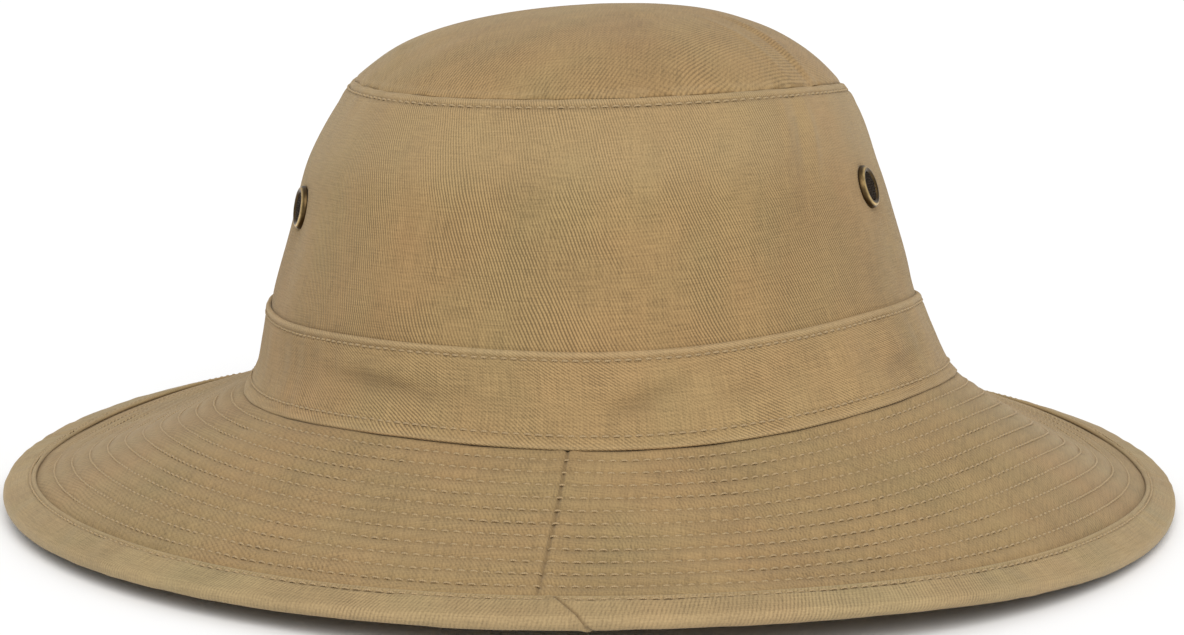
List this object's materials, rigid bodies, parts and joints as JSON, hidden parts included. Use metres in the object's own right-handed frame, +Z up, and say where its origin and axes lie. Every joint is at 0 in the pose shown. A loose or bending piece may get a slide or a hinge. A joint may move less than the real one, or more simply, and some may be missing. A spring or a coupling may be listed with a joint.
{
  "type": "boonie hat",
  "caption": "Soft bush hat: domed oval crown with a sewn band and screened vents, on a wide row-stitched brim with a bound edge.",
  "frame": {"origin": "middle of the hat's outline, on the surface that the brim rests on", "axes": "+Z up the crown, +Y to the front of the hat, +X to the wearer's right"},
  "size_m": [0.2924, 0.33, 0.123],
  "materials": {
    "drill": "matt khaki cotton drill",
    "tape": "matt cotton tape",
    "sweatband_cotton": "matt folded cotton twill",
    "label_satin": "blank woven satin",
    "interlining": "stiff non-woven",
    "antique_brass": "antique brass, worn bright on the crown of the ring",
    "dark_screen": "blackened woven wire"
  },
  "bodies": {
    "root": {"crown_tip": "drill", "crown_wall_front": "drill", "crown_wall_back": "drill", "tip_seam_tape": "tape", "side_seam_tape_left": "tape", "side_seam_tape_right": "tape", "hat_band": "drill", "sweatband": "sweatband_cotton", "size_label": "label_satin", "brim_top": "drill", "brim_interlining": "interlining", "brim_under": "drill", "brim_binding": "drill", "eyelet_left_back": "antique_brass", "vent_screen_left_back": "dark_screen", "eyelet_washer_left_back": "antique_brass", "eyelet_left_front": "antique_brass", "vent_screen_left_front": "dark_screen", "eyelet_washer_left_front": "antique_brass", "eyelet_right_back": "antique_brass", "vent_screen_right_back": "dark_screen", "eyelet_washer_right_back": "antique_brass", "eyelet_right_front": "antique_brass", "vent_screen_right_front": "dark_screen", "eyelet_washer_right_front": "antique_brass"}
  },
  "joints": []
}
